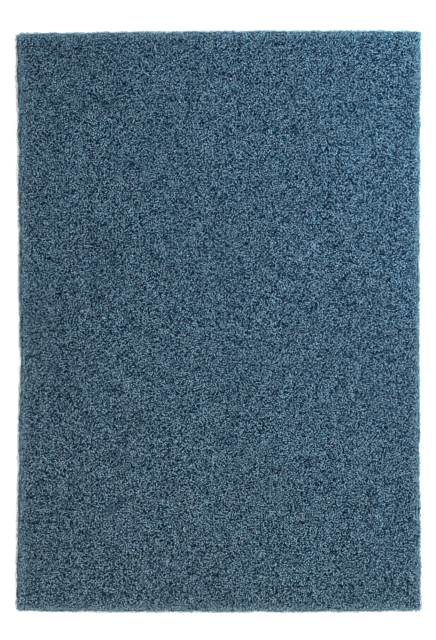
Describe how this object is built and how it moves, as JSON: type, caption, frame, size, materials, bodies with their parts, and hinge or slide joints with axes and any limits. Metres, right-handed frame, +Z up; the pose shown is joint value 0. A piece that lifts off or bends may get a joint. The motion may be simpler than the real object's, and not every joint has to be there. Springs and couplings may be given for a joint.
{
  "type": "floor scrubbing pad",
  "caption": "Rectangular floor scrubbing pad: a thick slab of open nonwoven fibre web, gripped on one face by a scrubbing machine's pad driver while the other face scrubs the floor.",
  "frame": {"origin": "middle of the lower face, where the pad rests on the floor", "axes": "+Y along the pad's length, towards the picture's top edge; +X along its width, towards the picture's right edge; +Z up through its thickness, towards the camera"},
  "size_m": [0.3555, 0.508, 0.0254],
  "materials": {
    "nonwoven_web": "matte"
  },
  "bodies": {
    "root": {"scrubbing_web": "nonwoven_web"}
  },
  "joints": []
}
